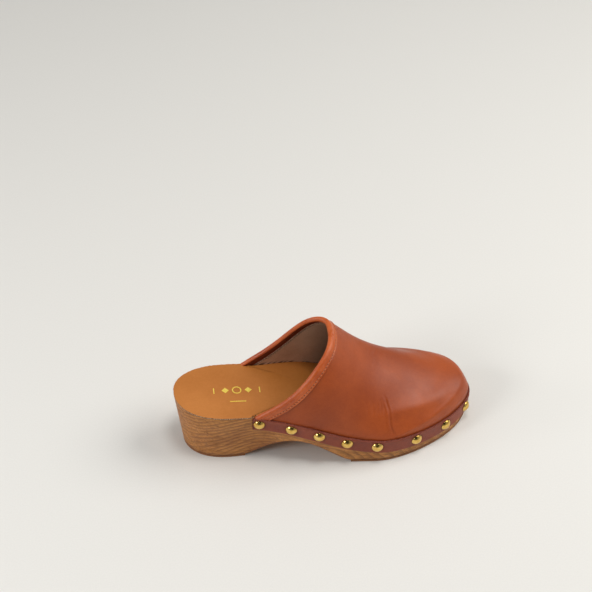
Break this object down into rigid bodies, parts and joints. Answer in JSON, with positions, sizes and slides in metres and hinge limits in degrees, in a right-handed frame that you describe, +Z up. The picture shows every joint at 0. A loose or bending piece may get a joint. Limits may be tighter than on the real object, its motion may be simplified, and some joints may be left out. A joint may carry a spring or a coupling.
{
  "type": "wooden clog",
  "caption": "Right-foot slip-on clog with a one-piece wooden heeled sole, an open-backed leather vamp and a studded leather rand.",
  "frame": {"origin": "centre of the bounding box, on the floor under the treads", "axes": "+X from heel to toe, +Y to the inner side of the right foot, +Z up"},
  "size_m": [0.2519, 0.1063, 0.1092],
  "materials": {
    "stained_wood": "stained and waxed close-grained wood",
    "tread_rubber": "thin brown rubber sheet",
    "insole_leather": "smooth caramel leather",
    "gold_foil": "hot-stamped gold foil",
    "vamp_leather": "waxed cognac calf leather",
    "lining_leather": "soft taupe lining leather",
    "stiffener": "impregnated toe stiffener",
    "binding_leather": "thin cognac binding leather",
    "thread": "brown bonded thread",
    "rand_leather": "red-brown rand leather with raw edges",
    "nail_brass": "polished brass-plated dome",
    "nail_steel": "drawn steel wire"
  },
  "bodies": {
    "root": {"wooden_sole": "stained_wood", "heel_tread": "tread_rubber", "forefoot_tread": "tread_rubber", "insole_sock": "insole_leather", "foil_mark": "gold_foil", "upper_vamp": "vamp_leather", "vamp_lining": "lining_leather", "toe_puff": "stiffener", "topline_binding": "binding_leather", "outer_stitching": "thread", "inner_stitching": "thread", "rand_strip": "rand_leather", "dome_nail_caps": "nail_brass", "dome_nail_pins": "nail_steel", "lasting_staples": "nail_steel"}
  },
  "joints": []
}
